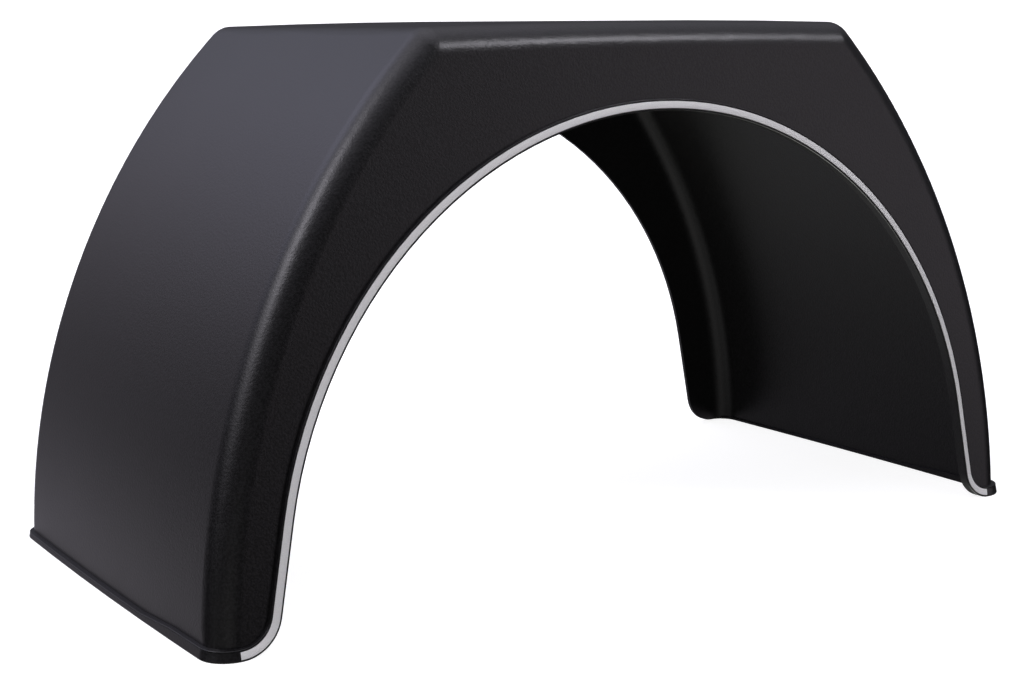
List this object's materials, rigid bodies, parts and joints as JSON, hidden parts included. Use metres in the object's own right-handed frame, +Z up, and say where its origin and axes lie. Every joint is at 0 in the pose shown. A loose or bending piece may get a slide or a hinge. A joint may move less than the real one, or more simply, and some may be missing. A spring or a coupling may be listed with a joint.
{
  "type": "trailer mudguard",
  "caption": "Moulded mudguard that covers a trailer wheel over the top and on both sides, open below, with a trim strip let into the thick rim of its outer arch.",
  "frame": {"origin": "centre of the footprint, on the plane that the feet stand on", "axes": "+X along the trailer, +Y from the outer panel to the inner panel, +Z up"},
  "size_m": [0.6516, 0.3234, 0.3528],
  "materials": {
    "black_plastic": "fine moulded grain, matte",
    "grey_trim": "satin silver-grey film with a faint texture"
  },
  "bodies": {
    "root": {"mudguard_shell": "black_plastic", "arch_trim_strip": "grey_trim"}
  },
  "joints": []
}
